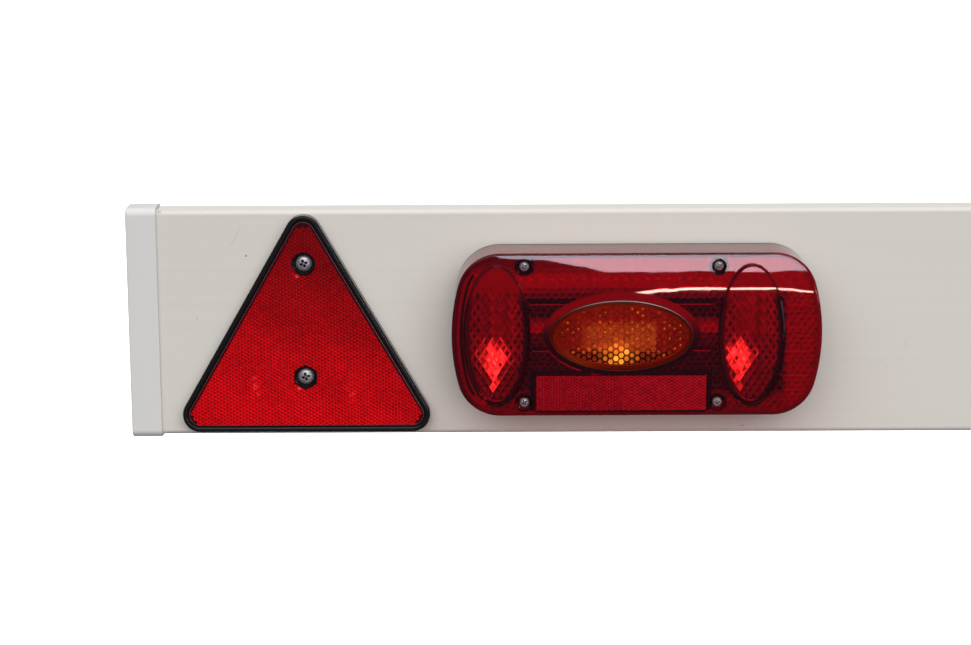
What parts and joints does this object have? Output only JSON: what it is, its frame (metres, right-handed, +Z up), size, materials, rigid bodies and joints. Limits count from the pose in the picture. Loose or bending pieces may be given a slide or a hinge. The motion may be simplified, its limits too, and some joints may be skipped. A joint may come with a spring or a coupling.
{
  "type": "trailer lighting board",
  "caption": "Long hollow white trailer board with end caps, red triangular reflectors and combined red and amber rear lamps facing the road behind.",
  "frame": {"origin": "middle of the board's flat rear face, half-way between the two fixing holes", "axes": "+X along the board to the right as seen by the driver behind, +Y out of the rear face towards the trailer, +Z up; the lamps face -Y"},
  "size_m": [1.403, 0.0666, 0.1432],
  "materials": {
    "board_white": "satin extruded PVC",
    "cap_white": "fine moulded matt",
    "black_plastic": "moulded ABS",
    "lens_red": "clear red acrylic",
    "lens_amber": "clear amber acrylic",
    "reflector_red": "red prism acrylic",
    "screw_steel": "zinc plated",
    "black_rubber": "moulded rubber",
    "silvered_plastic": "metallised",
    "bulb_glass": "clear glass",
    "holder_brass": "pressed and plated",
    "lead_black": "extruded sheath"
  },
  "bodies": {
    "root": {"board_profile": "board_white", "supply_grommet": "black_rubber", "link_lead": "lead_black", "left_end_cap": "cap_white", "left_triangle_holder": "black_plastic", "left_triangle_lens": "reflector_red", "left_triangle_screws": "screw_steel", "left_lamp_base": "black_plastic", "left_lens_gasket": "black_rubber", "left_lamp_lens": "lens_red", "left_indicator_window": "lens_amber", "left_reflex_reflector": "reflector_red", "left_lens_screws": "screw_steel", "left_mount_screws": "screw_steel", "left_lead_grommet": "black_rubber", "left_outer_dish": "silvered_plastic", "left_inner_dish": "silvered_plastic", "left_indicator_dish": "silvered_plastic", "left_outer_bulb": "bulb_glass", "left_inner_bulb": "bulb_glass", "left_indicator_bulb": "bulb_glass", "left_outer_bulb_holder": "holder_brass", "left_inner_bulb_holder": "holder_brass", "left_indicator_bulb_holder": "holder_brass", "right_end_cap": "cap_white", "right_triangle_holder": "black_plastic", "right_triangle_lens": "reflector_red", "right_triangle_screws": "screw_steel", "right_lamp_base": "black_plastic", "right_lens_gasket": "black_rubber", "right_lamp_lens": "lens_red", "right_indicator_window": "lens_amber", "right_reflex_reflector": "reflector_red", "right_lens_screws": "screw_steel", "right_mount_screws": "screw_steel", "right_lead_grommet": "black_rubber", "right_outer_dish": "silvered_plastic", "right_inner_dish": "silvered_plastic", "right_indicator_dish": "silvered_plastic", "right_outer_bulb": "bulb_glass", "right_inner_bulb": "bulb_glass", "right_indicator_bulb": "bulb_glass", "right_outer_bulb_holder": "holder_brass", "right_inner_bulb_holder": "holder_brass", "right_indicator_bulb_holder": "holder_brass"}
  },
  "joints": []
}
